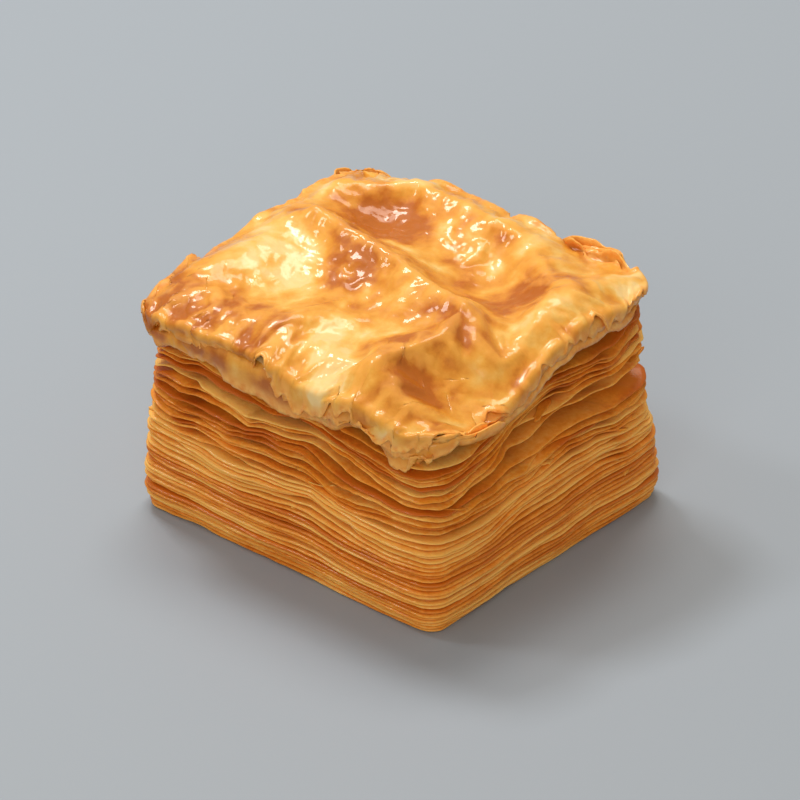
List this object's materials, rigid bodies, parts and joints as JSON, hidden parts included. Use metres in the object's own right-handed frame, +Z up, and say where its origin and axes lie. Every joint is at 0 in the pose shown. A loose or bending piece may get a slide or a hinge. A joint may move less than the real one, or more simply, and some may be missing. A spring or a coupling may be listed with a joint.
{
  "type": "baklava piece",
  "caption": "Square-cut piece of layered filo pastry with a puffed, creased, syrup-glazed top and a flat base.",
  "frame": {"origin": "centre of the flat base, on the surface that the piece stands on", "axes": "+Z up, +X along the piece's longer side, +Y along its shorter side; the corner at +X -Y dips the most"},
  "size_m": [0.0378, 0.0338, 0.0248],
  "materials": {
    "filo": "baked golden filo sheets under a thin clear syrup glaze"
  },
  "bodies": {
    "root": {"baklava_piece": "filo"}
  },
  "joints": []
}
